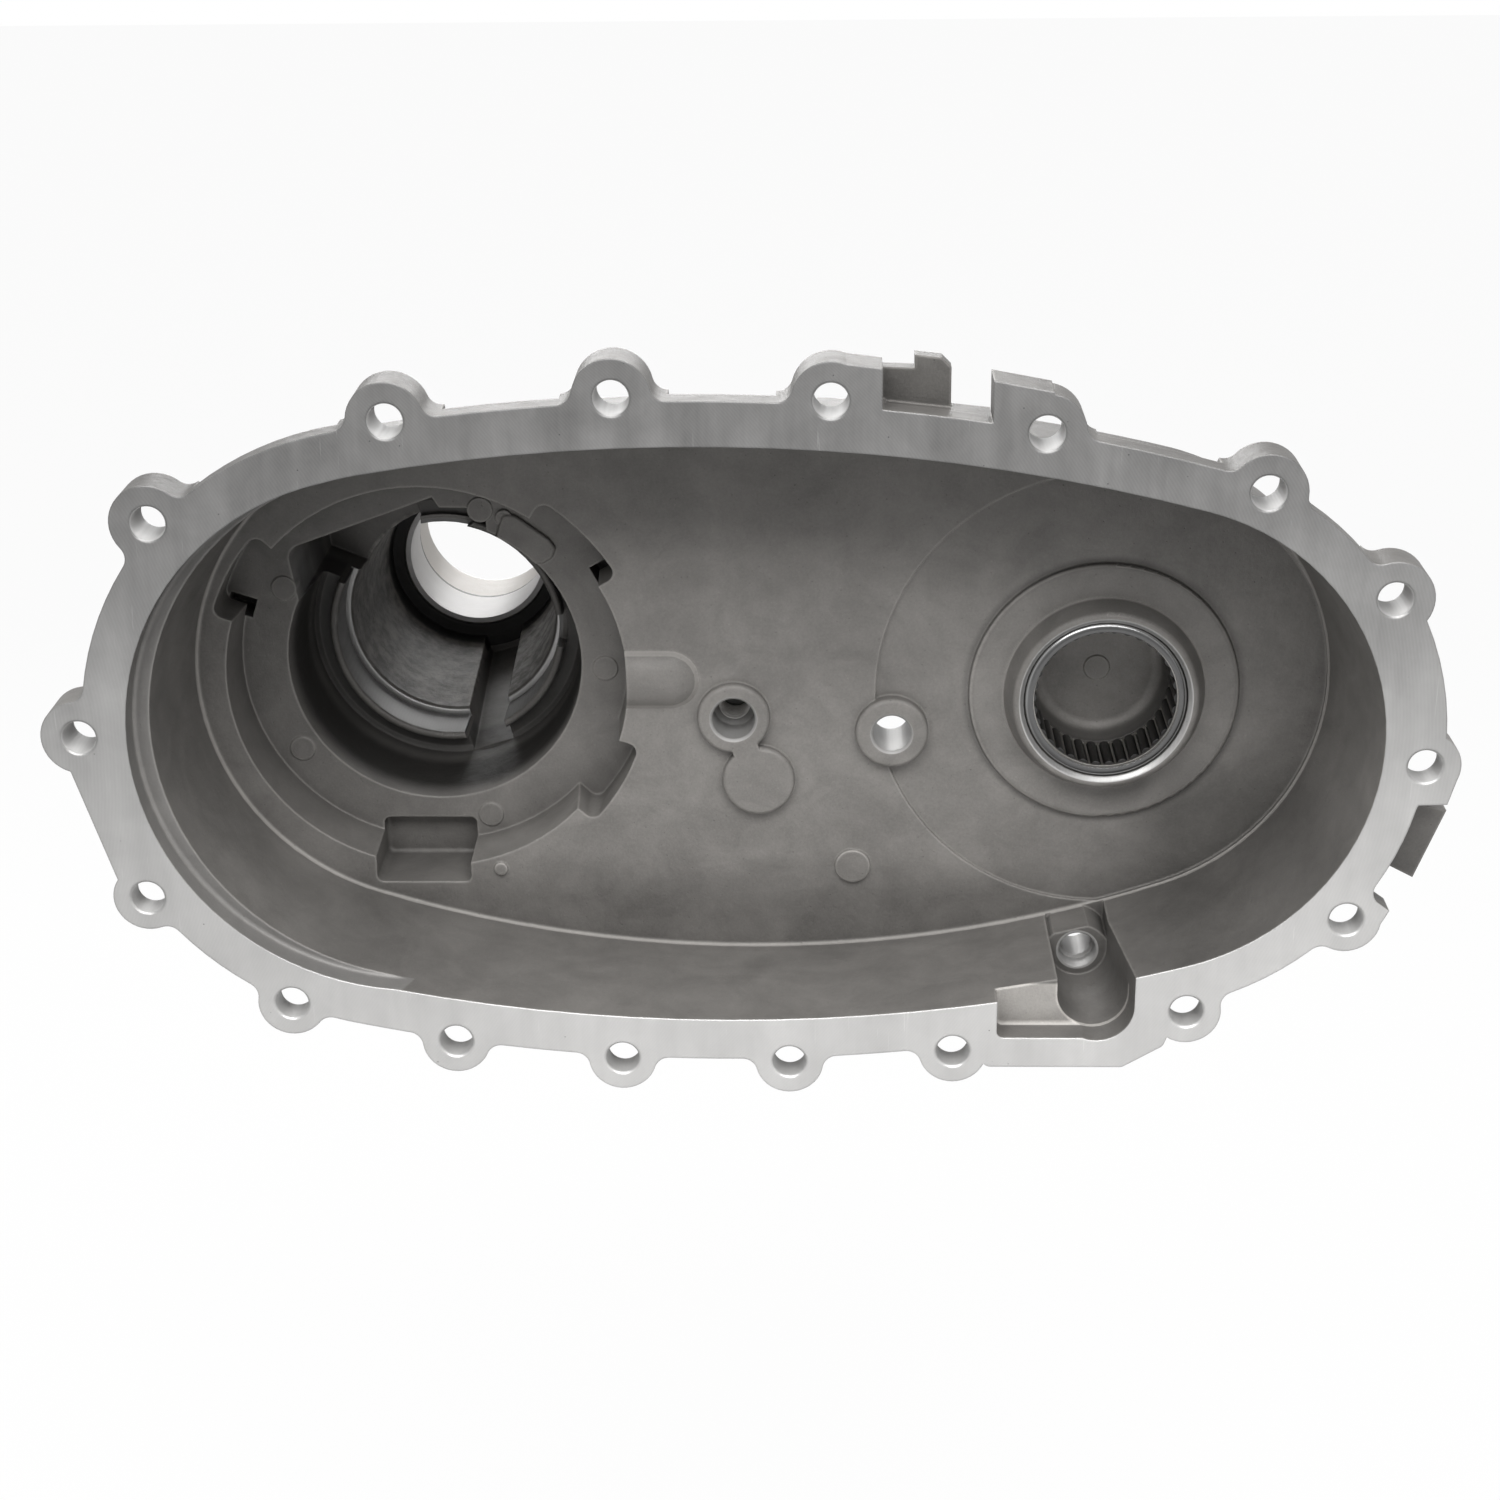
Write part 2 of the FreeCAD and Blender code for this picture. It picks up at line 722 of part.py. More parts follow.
def tag_lug():
    """The block, the back plate and the ear behind the notch in the flange's top edge."""
    hole = bolt_holes[2]
    block = prism([
        (hole[0], hole[1]), (hole[0], hole[1] + upper_ear_r - 0.3), (tag_left, tag_block_top_z),
        (tag_left, tag_edge_left_z - 8.0),
    ], 0, upper_ear_depth)
    plate = prism([
        (tag_left - 3.0, tag_edge_left_z - 12.0), (tag_left - 3.0, tag_plate_top_z),
        (tag_plate_right, tag_plate_top_z - 1.0), (tag_plate_right, tag_edge_left_z - 12.0),
    ], tag_plate_front, tag_plate_front + tag_plate_thickness)
    tab = prism([
        (tag_tab_left, tag_plate_top_z - 4.0), (tag_tab_left, tag_tab_top_z),
        (tag_plate_right - 3.0, tag_tab_top_z - 1.0),
        (tag_plate_right, tag_tab_top_z - 4.0), (tag_plate_right, tag_plate_top_z - 4.0),
    ], tag_plate_front, tag_plate_front + tag_plate_thickness)
    shelf = prism([
        (tag_left - 3.0, tag_edge_left_z - 14.0), (tag_left - 3.0, tag_edge_left_z),
        (tag_right, tag_edge_right_z), (tag_right, tag_edge_right_z - 14.0),
    ], 0, tag_plate_front + tag_plate_thickness)
    right_hole = bolt_holes[3]
    right_block = prism([
        (tag_right, tag_edge_right_z - 6.0), (tag_right, right_hole[1] + upper_ear_r + 4.2),
        (right_hole[0] + 2.0, right_hole[1] + upper_ear_r + 0.6), (right_hole[0] + 2.0, right_hole[1]),
    ], 0, upper_ear_depth)
    return [block, plate, tab, shelf, right_block]


def side_lug():
    """The lug that stands out behind the flange at the right end."""
    outer_r = mouth_right_r + land_width + side_lug_reach
    inner_r = mouth_right_r + bowl_wall - 2.0
    corners = []
    for radius, angle in (
        (inner_r, side_lug_angle_from), (outer_r, side_lug_angle_from),
        (outer_r, side_lug_angle_to), (inner_r, side_lug_angle_to),
    ):
        turn = math.radians(angle)
        corners.append((mouth_right_x + radius * math.cos(turn), mouth_right_z + radius * math.sin(turn)))
    return prism(corners, side_lug_front, side_lug_front + side_lug_thickness)


def bowl_space():
    """The inside of the bowl with its rounded floor edge, and the counterbore at its left end."""
    space = Part.makeLoft([mouth_wire(0), floor_wire(floor_y)], True, True)
    space = space.makeFillet(floor_fillet, edges_at(space, floor_y))
    ledge_x = mouth_left_x - mouth_left_r - ledge_width + ledge_r
    ledge = cylinder(ledge_x, mouth_left_z - ledge_drop, ledge_r, -1.0, ledge_depth)
    ledge = ledge.makeFillet(cast_round, edges_at(ledge, ledge_depth))
    return [space, ledge]


def sector(radius, start, end, y0, y1):
    """A pie slice about the main shaft between two angles in degrees."""
    middle = (start + end) / 2
    points = []
    for angle in (start, middle, end):
        turn = math.radians(angle)
        points.append(Vector(radius * math.cos(turn), y0, radius * math.sin(turn)))
    centre = Vector(0, y0, 0)
    edges = [
        Part.makeLine(centre, points[0]), arc(points[0], points[1], points[2]),
        Part.makeLine(points[2], centre),
    ]
    return Part.Face(Part.Wire(edges)).extrude(Vector(0, y1 - y0, 0))


def recess_space():
    """The pump recess with its three lug lobes, its tab pocket and the two latch pockets."""
    above = floor_y - 6.0
    space = cone(0, 0, recess_rim_r, recess_foot_r, floor_y, recess_y)
    space = space.fuse(cylinder(0, 0, recess_rim_r, above, floor_y))
    for start, end in lobes:
        lobe = sector(lobe_r, start, end, above, recess_y)
        space = space.fuse(lobe.makeFillet(lobe_round, outer_uprights(lobe, lobe_r - lobe_round)))
    tab_y = recess_y + tab_extra_depth
    tab = prism(tab_corners(), above, tab_y)
    tab = tab.makeFillet(pocket_corner_r, upright_edges(tab))
    tab = tab.makeFillet(cast_round, edges_at(tab, tab_y))
    space = space.fuse(tab)
    for outline in latch_corners():
        space = space.fuse(prism(outline, recess_y - 1.0, recess_y + latch_depth))
    return space


def side_pocket():
    """The passage beside the bearing seat, from the recess face into the tube."""
    mouth = prism(beside_cavity(side_mouth), recess_y - 1.0, seat_y - 2.0)
    deep = prism(beside_cavity(side_deep), seat_y - 4.0, recess_y + side_pocket_depth)
    outer_r = cavity_r + side_pocket_reach
    mouth = mouth.makeFillet(side_pocket_round, outer_uprights(mouth, outer_r))
    deep = deep.makeFillet(side_pocket_round, outer_uprights(deep, outer_r))
    return mouth.fuse(deep)


def recess_pads():
    """The raised pad on the recess face and the small round one beside it."""
    back_y = recess_y + hub_wall
    raised = prism(beside_cavity(recess_pad), recess_y - recess_pad_height, back_y)
    raised = raised.makeFillet(pocket_corner_r, outer_uprights(raised, cavity_r + recess_pad_height))
    raised = raised.makeFillet(recess_pad_round, edges_at(raised, recess_y - recess_pad_height))
    top_y = recess_y - recess_pad_height + pin_height
    return [raised, cylinder(small_pin_x, small_pin_z, small_pin_r, top_y, back_y)]


def seat_notch(collar_r, collar_y):
    """The notch through the collar of the bearing seat."""
    return sector(collar_r + notch_wall, notch_from, notch_to, collar_y - 1.0, seat_y + notch_depth)


def main_bore():
    """The stepped bore of the main shaft, its collar, its oil slot and its side pocket."""
    above = recess_y - 2 * recess_pad_height
    collar_r = bearing_r + collar_wall
    collar_y = seat_y - collar_height
    groove_y = shoulder_y - groove_width
    groove_r = bearing_r + groove_depth
    edge_y = shoulder_y + tube_edge_depth
    profile = [
        (0, above), (cavity_r, above), (cavity_r, recess_y), (cavity_foot_r, seat_y - cast_round),
        (cavity_foot_r - cast_round, seat_y), (collar_r, seat_y), (collar_r, collar_y),
        (bearing_r, collar_y), (bearing_r, groove_y), (groove_r, groove_y), (groove_r, shoulder_y),
        (tube_mouth_r + tube_edge, shoulder_y), (tube_mouth_r, edge_y), (tube_end_r, tube_end_y),
        (0, tube_end_y),
    ]
    bore = turned(0, 0, profile)
    bore = bore.makeFillet(collar_round, edges_at(bore, collar_y))
    slot_y = collar_y - 1.0
    slot_end_y = tube_end_y - 0.5
    slot = slot_prism(tube_end_r - 8.0, oil_slot_mouth_r, oil_slot_end_r, oil_slot_width, slot_y, slot_end_y)
    return bore.fuse(slot).fuse(side_pocket()).fuse(seat_notch(collar_r, collar_y))


def tail_bore():
    """The bushing bore, the throat behind it and the seal bore at the end."""
    seat_r = bushing_bore_r + bushing_wall
    profile = [
        (0, tube_end_y - 1.0), (seat_r + machined_step, tube_end_y - 1.0),
        (seat_r + machined_step, tube_end_y), (seat_r, tube_end_y + machined_step), (seat_r, bushing_end_y),
        (tail_throat_r, bushing_end_y),
        (tail_throat_r, throat_end_y), (seal_bore_r, throat_end_y), (seal_bore_r, tail_end_y - 1.0),
        (seal_bore_r + 1.0, tail_end_y), (0, tail_end_y),
    ]
    return turned(0, 0, profile)


def front_boss():
    """The raised boss on the floor that carries the needle bearing."""
    step_y = floor_y + chain_dish_depth - boss_step_height
    profile = [
        (0, boss_face_y), (boss_top_r, boss_face_y), (boss_foot_r, step_y), (boss_step_r, step_y),
        (boss_step_r, floor_y + floor_wall - 1.0),
        (0, floor_y + floor_wall - 1.0),
    ]
    boss = turned(front_x, front_z, profile)
    boss = boss.makeFillet(boss_edge, edges_at(boss, boss_face_y))
    outer = [edge for edge in edges_at(boss, step_y) if edge.BoundBox.XLength > 2 * boss_foot_r + boss_flank]
    return boss.makeFillet(boss_step_round, outer)


def front_bore():
    """The bore for the bearing shell and the blind space behind it."""
    profile = [
        (0, boss_face_y - 1.0), (shell_r + bore_chamfer, boss_face_y - 1.0),
        (shell_r + bore_chamfer, boss_face_y),
        (shell_r, boss_face_y + bore_chamfer), (shell_r, shell_end_y), (blind_mouth_r, shell_end_y),
        (blind_end_r, blind_end_y), (0, blind_end_y),
    ]
    bore = turned(front_x, front_z, profile)
    return bore.makeFillet(blind_round, edges_at(bore, blind_end_y))


def trough_space():
    """The drain trough, with the drain boss left standing at its deep end."""
    top = trough_z + 18.0
    front = u_wire(trough_x, trough_z, trough_r, 0, top)
    back = u_wire(trough_end_x, trough_end_z, trough_end_r, drain_face_depth, top)
    space = Part.makeLoft([front, back], True, True)
    side_cut = prism([
        (side_cut_left, side_cut_bottom), (trough_x, side_cut_bottom), (trough_x, trough_z + 10.0),
        (side_cut_left, trough_z + 10.0),
    ], 0, side_cut_depth)
    side_cut = side_cut.makeFillet(pocket_corner_r, upright_edges(side_cut))
    side_cut = side_cut.makeFillet(cast_round, edges_at(side_cut, side_cut_depth))
    left_x = trough_end_x - trough_end_r
    right_x = trough_end_x + trough_end_r
    above = prism([
        (left_x, trough_end_z), (right_x, trough_end_z), (right_x, top), (left_x, top),
    ], drain_face_depth - 1.0, floor_y - 0.5)
    arch_z = drain_top_z - drain_boss_r
    arch = cylinder(trough_end_x, arch_z, drain_boss_r, drain_face_depth, floor_y + floor_wall)
    return space.fuse(side_cut).fuse(above.cut(arch))


def drain_hole():
    """The drain bore with its counterbore."""
    start_y = drain_face_depth - 1.0
    far_y = drain_face_depth + drain_boss_length + 1.0
    mouth_y = drain_face_depth + drain_counterbore_depth
    bore = cylinder(trough_end_x, drain_z, drain_bore_r, start_y, far_y)
    return bore.fuse(cylinder(trough_end_x, drain_z, drain_counterbore_r, start_y, mouth_y))


def pad(x, z, radius, height):
    """A low round pad on the bowl floor with a rounded rim."""
    body = cylinder(x, z, radius, floor_y - height, floor_y + floor_wall - 1.0)
    return body.makeFillet(min(pad_round, height * 0.45), edges_at(body, floor_y - height))


def floor_pads():
    """The pads, the neck between two of them, the plain disc and the oil rib."""
    dx = plain_pad_x - blind_boss_x
    dz = plain_pad_z - blind_boss_z
    span = math.hypot(dx, dz)
    px, pz = -dz / span * 4.6, dx / span * 4.6
    neck = prism([
        (blind_boss_x + px, blind_boss_z + pz), (plain_pad_x + px, plain_pad_z + pz),
        (plain_pad_x - px, plain_pad_z - pz), (blind_boss_x - px, blind_boss_z - pz),
    ], floor_y - pad_height, floor_y + floor_wall - 1.0)
    rib_start = recess_rim_r - 4.0
    rib_end = oil_rib_end - oil_rib_half_width
    rise = (oil_rib_half_width**2 + oil_rib_height**2) / (2 * oil_rib_height)
    centre_y = floor_y - oil_rib_height + rise
    start = Vector(rib_start, centre_y, oil_rib_z)
    rib = Part.makeCylinder(rise, rib_end - rib_start, start, Vector(1, 0, 0))
    end = Part.makeSphere(rise)
    end.translate(Vector(rib_end, centre_y, oil_rib_z))
    keep = Part.makeBox(oil_rib_end - rib_start + 4.0, oil_rib_height + 2.0, 2 * oil_rib_half_width + 4.0)
    keep.translate(Vector(rib_start, floor_y - oil_rib_height - 1.0, oil_rib_z - oil_rib_half_width - 2.0))
    rib = rib.fuse(end).common(keep)
    return [
        pad(blind_boss_x, blind_boss_z, pad_r, pad_height), pad(plain_pad_x, plain_pad_z, pad_r, pad_height),
        neck, pad(through_boss_x, through_boss_z, pad_r, pad_height), rib,
        pad(disc_x, disc_z, disc_r, disc_height),
        pad(dimple_x, dimple_z, dimple_r, dimple_height),
    ]


def chamfered_hole(x, z, radius, chamfer, y0, y1):
    """A drilled hole with a chamfer at its mouth y0."""
    profile = [
        (0, y0 - 1.0), (radius + chamfer, y0 - 1.0), (radius + chamfer, y0), (radius, y0 + chamfer),
        (radius, y1), (0, y1),
    ]
    return turned(x, z, profile)


def floor_holes():
    """The stepped blind hole and the through hole in the floor bosses."""
    top_y = floor_y - pad_height
    bore_end = top_y + blind_boss_bore_depth
    thread_end = top_y + blind_boss_thread_depth
    far_y = top_y + through_boss_length + 1.0
    edge = hole_edge_chamfer
    blind = chamfered_hole(blind_boss_x, blind_boss_z, blind_boss_bore_r, edge, top_y, bore_end)
    core_y = bore_end + 2.0
    thread = cone(blind_boss_x, blind_boss_z, blind_boss_bore_r, blind_boss_thread_r, bore_end, core_y)
    deep = cylinder(blind_boss_x, blind_boss_z, blind_boss_thread_r, bore_end, thread_end)
    through = chamfered_hole(through_boss_x, through_boss_z, through_boss_bore_r, edge, top_y, far_y)
    return [blind.fuse(thread).fuse(deep), through]


def recess_pins():
    """Ejector pin marks that stand up a little from the recess face and the blind bore's end."""
    marks = [cylinder(x, z, pin_r, recess_y - pin_height, recess_y + hub_wall) for x, z in pins]
    marks.append(cylinder(front_x, front_z, blind_mark_r, blind_end_y - pin_height, blind_end_y + 1.0))
    return marks


def cut_each(body, tools):
    """Cut tools one after another, which copes with tools that touch each other."""
    for tool in tools:
        body = body.cut(tool)
    return body


def case_casting():
    added = flange() + main_hub() + [front_hub()] + back_ribs() + boss_backs() + trough_shell() + tag_lug()
    outside = bowl_shell().multiFuse(added + [side_lug()])
    case = cut_each(outside, bowl_space() + [trough_space()])
    dish = cylinder(front_x, front_z, chain_dish_r, floor_y - 2.0, floor_y + chain_dish_depth)
    dish = dish.common(Part.Face(floor_wire(floor_y - 2.0, -floor_fillet * 0.4)).extrude(Vector(0, 8.0, 0)))
    case = case.cut(dish)
    case = case.multiFuse([front_boss()] + floor_pads())
    case = case.cut(recess_space()).multiFuse(recess_pads())
    case = cut_each(case, [main_bore(), tail_bore(), front_bore(), drain_hole()] + floor_holes())
    case = case.multiFuse(recess_pins())
    far = upper_ear_depth + 5.0
    radius = bolt_hole_d / 2
    case = cut_each(case, [chamfered_hole(x, z, radius, bolt_chamfer, 0, far) for x, z in bolt_holes])
    return case.removeSplitter()


def bearing_shell():
    """The drawn cup of the needle bearing: a thin tube with a turned-in lip at each end."""
    section = [
        (lip_r, shell_y), (shell_r, shell_y), (shell_r, shell_end_y), (lip_r, shell_end_y),
        (lip_r, shell_end_y - shell_wall), (raceway_r, shell_end_y - shell_wall),
        (raceway_r, shell_y + shell_wall), (lip_r, shell_y + shell_wall),
    ]
    shell = turned(front_x, front_z, section)
    outer = []
    inner = []
    for edge in shell.Edges:
        box = edge.BoundBox
        depth = min(box.YMin - shell_y, shell_end_y - box.YMax)
        if depth < 0.01 and box.XLength > 2 * shell_r - 0.5:
            outer.append(edge)
        if abs(depth - shell_wall) < 0.01 and abs(box.XLength - 2 * raceway_r) < 0.5:
            inner.append(edge)
    shell = shell.makeFillet(cup_round - shell_wall, inner)
    return shell.makeFillet(cup_round, outer)


def needle_track():
    """The depths at which the needles start and end."""
    middle_y = (shell_y + shell_end_y) / 2
    return middle_y - needle_length / 2, middle_y + needle_length / 2


def needle_rollers():
    start_y, end_y = needle_track()
    rollers = []
    for index in range(needle_count):
        angle = 2 * math.pi * index / needle_count
        x = front_x + needle_pitch_r * math.cos(angle)
        z = front_z + needle_pitch_r * math.sin(angle)
        rollers.append(cylinder(x, z, needle_d / 2, start_y, end_y))
    return Part.makeCompound(rollers)


def needle_cage():
    """The cage ring with a window for every needle."""
    start_y = shell_y + shell_wall + end_clearance
    end_y = shell_end_y - shell_wall - end_clearance
    first_y, last_y = needle_track()
    ring = cylinder(front_x, front_z, cage_outer_r, start_y, end_y)
    ring = ring.cut(cylinder(front_x, front_z, cage_inner_r, start_y - 1.0, end_y + 1.0))
    windows = []
    width = needle_d + 2 * window_clearance
    for index in range(needle_count):
        window = Part.makeBox(2 * needle_d, last_y - first_y + 2 * window_clearance, width)
        window.translate(Vector(needle_pitch_r - needle_d, first_y - window_clearance, -width / 2))
        window.rotate(Vector(0, 0, 0), Vector(0, 1, 0), -360.0 * index / needle_count)
        window.translate(Vector(front_x, 0, front_z))
        windows.append(window)
    return ring.cut(windows)


def tail_bushing():
    """The plain bushing pressed into the tail."""
    outer_r = bushing_bore_r + bushing_wall
    start_y = tube_end_y + bushing_lead
    ring = cylinder(0, 0, outer_r, start_y, bushing_end_y)
    return ring.cut(cylinder(0, 0, bushing_bore_r, start_y - 1.0, bushing_end_y + 1.0))


nodes = {
    "case_casting": case_casting(),
    "bearing_shell": bearing_shell(),
    "needle_cage": needle_cage(),
    "needle_rollers": needle_rollers(),
    "tail_bushing": tail_bushing(),
}
for name, shape in nodes.items():
    shape.exportStep("parts/" + name + ".step")
    print(name, "solids", len(shape.Solids), "valid", shape.isValid(), "cm3", round(shape.Volume / 1000, 1))
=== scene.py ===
"""Transfer case housing: materials, a thread, stage, lights and camera in the CAD frame."""
import math
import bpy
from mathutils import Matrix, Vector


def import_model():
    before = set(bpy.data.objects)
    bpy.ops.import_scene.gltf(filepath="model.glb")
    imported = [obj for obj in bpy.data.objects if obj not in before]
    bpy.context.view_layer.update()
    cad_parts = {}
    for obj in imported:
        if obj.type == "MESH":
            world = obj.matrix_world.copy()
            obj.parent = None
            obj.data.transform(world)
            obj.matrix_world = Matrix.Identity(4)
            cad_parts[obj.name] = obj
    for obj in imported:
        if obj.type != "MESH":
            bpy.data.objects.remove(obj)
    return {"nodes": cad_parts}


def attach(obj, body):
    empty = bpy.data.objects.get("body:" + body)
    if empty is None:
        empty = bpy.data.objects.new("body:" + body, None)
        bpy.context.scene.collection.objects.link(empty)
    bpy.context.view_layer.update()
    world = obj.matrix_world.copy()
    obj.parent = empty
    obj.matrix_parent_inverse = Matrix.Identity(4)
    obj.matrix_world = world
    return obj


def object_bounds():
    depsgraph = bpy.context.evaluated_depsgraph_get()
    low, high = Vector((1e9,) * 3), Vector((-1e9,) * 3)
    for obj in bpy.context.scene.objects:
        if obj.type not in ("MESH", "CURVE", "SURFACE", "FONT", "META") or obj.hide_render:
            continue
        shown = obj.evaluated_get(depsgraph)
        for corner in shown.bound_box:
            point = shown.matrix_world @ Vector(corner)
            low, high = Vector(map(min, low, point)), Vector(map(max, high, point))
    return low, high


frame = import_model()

from types import SimpleNamespace

import bmesh
import bpy
from mathutils import Matrix, Vector

CAD_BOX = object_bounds()
MM = 0.001

# Places and sizes of the CAD model, in millimetres. Y is the depth behind the joint face.
FRONT_X, FRONT_Z = 232.7, -4.3
LEDGE_Y, LEDGE_R, LEDGE_Z = 9.0, 89.0, 1.5
SHELF_Y, SHELF_X, SHELF_Z = 10.0, 195.0, -90.0
HOLE_TOP_Y = 45.0
RIM_Y, RIM_IN_R, RIM_OUT_R = 53.6, 27.5, 29.6
FLOOR_Y = 62.0
BLIND_Y, BLIND_R = 78.0, 24.0
COLLAR_Y = 116.0
SHOULDER_Y = 136.0
TUBE_END_Y = 206.5
THROAT_Y = 233.0
SEAL_Y, SEAL_R = 257.0, 32.0
BEARING_R = 40.0
TUBE_R = 37.6
BUSHING_OUT_R = 28.2
BOLT_R = 5.5
BOLT_HOLES = [
    (1.3, 108.0), (71.4, 115.1), (139.0, 114.0), (205.5, 103.5), (274.4, 84.3), (316.0, 49.6),
    (329.8, -6.8), (308.3, -60.9), (257.7, -94.8), (180.1, -109.9), (125.2, -114.0),
    (68.9, -112.8), (12.8, -106.6), (-41.9, -92.5), (-87.2, -53.6), (-104.5, 3.2), (-75.4, 75.3),
]
BLIND_BOSS_X, BLIND_BOSS_Z = 105.7, -12.9
# X, Z and radius of the holes in the bowl's floor
FLOOR_HOLES = [
    (BLIND_BOSS_X, BLIND_BOSS_Z, 7.4), (160.2, -18.2, 6.5), (225.2, -93.6, 6.5),
]
THREAD_R, THREAD_START_Y, THREAD_END_Y, THREAD_PITCH = 5.4, 73.6, 86.6, 1.5

# Painted shade and light on the casting, darker at the top, left, right, very bottom and further in,
# lighter low down: the axis, where it starts and ends, and the factors there
PAINTED_SHADE_GRADIENTS = (
    ("z", 82.0, 20.0, 0.68, 1.14),
    ("z", 10.0, -45.0, 1.0, 1.16),
    ("z", -62.0, -84.0, 1.0, 0.70),
    ("x", -70.0, 30.0, 0.66, 1.0),
    ("x", 150.0, 275.0, 1.0, 0.88),
    ("y", 70.0, 82.0, 1.0, 0.82),
)
SKIN_BRIGHTNESS = 0.165
SKIN_TINT = (1.045, 1.0, 0.945)
METAL_TINT = (1.01, 1.0, 0.985)
CUTTER_R = 170.0
ARC_STEP, FINE_STEP = 1.15, 0.43

NO_TINT = (1.0, 1.0, 1.0)
CAGE_TINT = (1.0, 0.97, 0.92)
BUSHING_TINT = (1.0, 0.985, 0.975)
THREAD_TINT = (1.0, 0.985, 0.96)

# The photograph's camera, in metres, with the directions of its right side and its top
CAMERA_AT = (0.1370, -0.8090, 0.3181)
CAMERA_RIGHT = (0.99962, 0.02564, -0.01011)
CAMERA_UP = (0.0, 0.36689, 0.93027)
SENSOR_MM, LENS_MM = 36.0, 64.8

WHITE = (1.0, 1.0, 1.0, 1.0)
WORLD_GREY = (0.80, 0.80, 0.80, 1.0)
WORLD_STRENGTH = 0.12
FLOOR_HALF, FLOOR_DROP = 6.0, 0.32
FLOOR_SEEN = 0.95
CENTRE = (0.114, 0.03, 0.0)
TAIL = (0.0, 0.2, 0.0)
# Name, place, target, size in metres, and watts
LIGHTS = (
    ("key_above", (0.1, -0.35, 1.25), CENTRE, (1.3, 0.8), 17.0),
    ("fill_front_low", (0.114, -0.75, -0.42), CENTRE, (1.6, 0.45), 1.5),
    ("front_high", (0.114, -0.85, 0.95), CENTRE, (1.6, 0.5), 15.0),
    ("behind_tail", (0.0, 1.15, 0.32), TAIL, (0.7, 0.4), 6.0),
    ("side_right", (1.3, -0.9, 0.25), CENTRE, (0.8, 1.0), 1.6),
)


